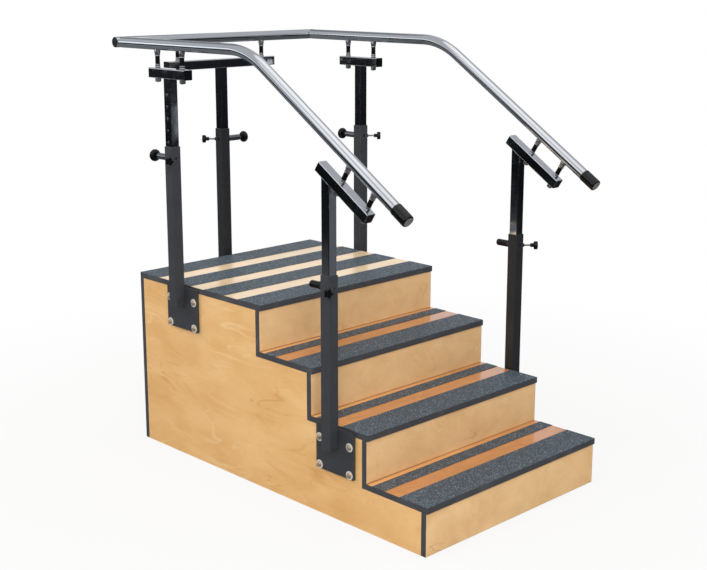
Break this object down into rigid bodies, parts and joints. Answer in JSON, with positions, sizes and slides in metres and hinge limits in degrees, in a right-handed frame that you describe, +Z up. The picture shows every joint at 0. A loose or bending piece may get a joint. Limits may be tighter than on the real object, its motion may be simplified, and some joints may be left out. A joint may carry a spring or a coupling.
{
  "type": "rehabilitation training stairs",
  "caption": "Free-standing wooden training stairs with anti-slip treads, a top platform and chrome handrails on height-adjustable telescopic posts.",
  "frame": {"origin": "on the floor, at the bottom centre of the whole object's bounding box", "axes": "+X down the steps, +Z up. The left rail lies on -Y and the right rail on +Y, the sides that the picture shows as near and far"},
  "size_m": [1.443, 0.9702, 1.402],
  "materials": {
    "ply_side": "clear-lacquered plywood face, charcoal sealed edges",
    "ply_riser": "clear-lacquered plywood face",
    "ply_tread": "gloss-lacquered plywood with charcoal sealed edges",
    "pine": "planed, untreated",
    "anti_slip": "matte speckled anti-slip vinyl strip",
    "powder_coat": "satin charcoal powder coat",
    "chrome": "polished",
    "black_plastic": "moulded, satin",
    "rubber": "moulded, matte"
  },
  "bodies": {
    "stairs": {"side_panel_left": "ply_side", "side_panel_right": "ply_side", "back_panel": "ply_side", "riser_1": "ply_riser", "riser_2": "ply_riser", "riser_3": "ply_riser", "riser_4": "ply_riser", "platform_board": "ply_tread", "tread_1": "ply_tread", "tread_2": "ply_tread", "tread_3": "ply_tread", "platform_joist": "pine", "grip_platform_1": "anti_slip", "grip_platform_2": "anti_slip", "grip_platform_3": "anti_slip", "grip_platform_4": "anti_slip", "grip_tread_1_back": "anti_slip", "grip_tread_1_front": "anti_slip", "grip_tread_2_back": "anti_slip", "grip_tread_2_front": "anti_slip", "grip_tread_3_back": "anti_slip", "grip_tread_3_front": "anti_slip", "socket_left_rear": "powder_coat", "socket_left_front": "powder_coat", "socket_back": "powder_coat", "socket_right_rear": "powder_coat", "socket_right_front": "powder_coat", "plunger_barrel_left_rear": "powder_coat", "plunger_barrel_back": "powder_coat", "plunger_barrel_right_rear": "powder_coat"},
    "left_handrail": {"rail_left": "chrome", "rail_cap_left": "rubber", "upright_left_rear": "chrome", "upright_left_front": "chrome", "rail_support_left_rear_1": "chrome", "rail_support_left_rear_2": "chrome", "rail_support_left_front_1": "chrome", "rail_support_left_front_2": "chrome"},
    "right_handrail": {"rail_right": "chrome", "rail_cap_right": "rubber", "upright_right_rear": "chrome", "upright_right_front": "chrome", "rail_support_right_rear_1": "chrome", "rail_support_right_rear_2": "chrome", "rail_support_right_front_1": "chrome", "rail_support_right_front_2": "chrome"},
    "back_handrail": {"rail_back": "chrome", "upright_back": "chrome", "rail_support_back_1": "chrome", "rail_support_back_2": "chrome"},
    "left_rear_plunger": {"plunger_left_rear": "black_plastic"},
    "left_rear_clamp": {"clamp_left_rear": "black_plastic"},
    "left_front_plunger": {"plunger_left_front": "black_plastic"},
    "left_front_clamp": {"clamp_left_front": "black_plastic"},
    "back_plunger": {"plunger_back": "black_plastic"},
    "back_clamp": {"clamp_back": "black_plastic"},
    "right_rear_plunger": {"plunger_right_rear": "black_plastic"},
    "right_rear_clamp": {"clamp_right_rear": "black_plastic"},
    "right_front_plunger": {"plunger_right_front": "black_plastic"},
    "right_front_clamp": {"clamp_right_front": "black_plastic"}
  },
  "joints": [
    {"name": "left_handrail_height", "type": "slide", "parent": "stairs", "child": "left_handrail", "axis": [0, 0, 1], "range_m": [-0.19, 0.114]},
    {"name": "right_handrail_height", "type": "slide", "parent": "stairs", "child": "right_handrail", "axis": [0, 0, 1], "range_m": [-0.19, 0.114]},
    {"name": "back_handrail_height", "type": "slide", "parent": "stairs", "child": "back_handrail", "axis": [0, 0, 1], "range_m": [-0.19, 0.114]},
    {"name": "left_rear_plunger_pull", "type": "slide", "parent": "stairs", "child": "left_rear_plunger", "axis": [-1, 0, 0], "range_m": [-0.008, 0]},
    {"name": "left_front_plunger_pull", "type": "slide", "parent": "stairs", "child": "left_front_plunger", "axis": [-1, 0, 0], "range_m": [-0.008, 0]},
    {"name": "back_plunger_pull", "type": "slide", "parent": "stairs", "child": "back_plunger", "axis": [0, 1, 0], "range_m": [-0.008, 0]},
    {"name": "right_rear_plunger_pull", "type": "slide", "parent": "stairs", "child": "right_rear_plunger", "axis": [-1, 0, 0], "range_m": [-0.008, 0]},
    {"name": "right_front_plunger_pull", "type": "slide", "parent": "stairs", "child": "right_front_plunger", "axis": [-1, 0, 0], "range_m": [-0.008, 0]},
    {"name": "left_rear_clamp_turn", "type": "hinge", "parent": "stairs", "child": "left_rear_clamp", "pos_m": [-0.38345, -0.4248, 1.0247], "axis": [0.7071, -0.7071, 0], "range_deg": [-180, 180]},
    {"name": "left_front_clamp_turn", "type": "hinge", "parent": "stairs", "child": "left_front_clamp", "pos_m": [0.35355, -0.4248, 0.7247], "axis": [0.7071, -0.7071, 0], "range_deg": [-180, 180]},
    {"name": "back_clamp_turn", "type": "hinge", "parent": "stairs", "child": "back_clamp", "pos_m": [-0.66125, 0, 1.0247], "axis": [-0.7071, -0.7071, 0], "range_deg": [-180, 180]},
    {"name": "right_rear_clamp_turn", "type": "hinge", "parent": "stairs", "child": "right_rear_clamp", "pos_m": [-0.38345, 0.4248, 1.0247], "axis": [0.7071, 0.7071, 0], "range_deg": [-180, 180]},
    {"name": "right_front_clamp_turn", "type": "hinge", "parent": "stairs", "child": "right_front_clamp", "pos_m": [0.35355, 0.4248, 0.7247], "axis": [0.7071, 0.7071, 0], "range_deg": [-180, 180]}
  ]
}
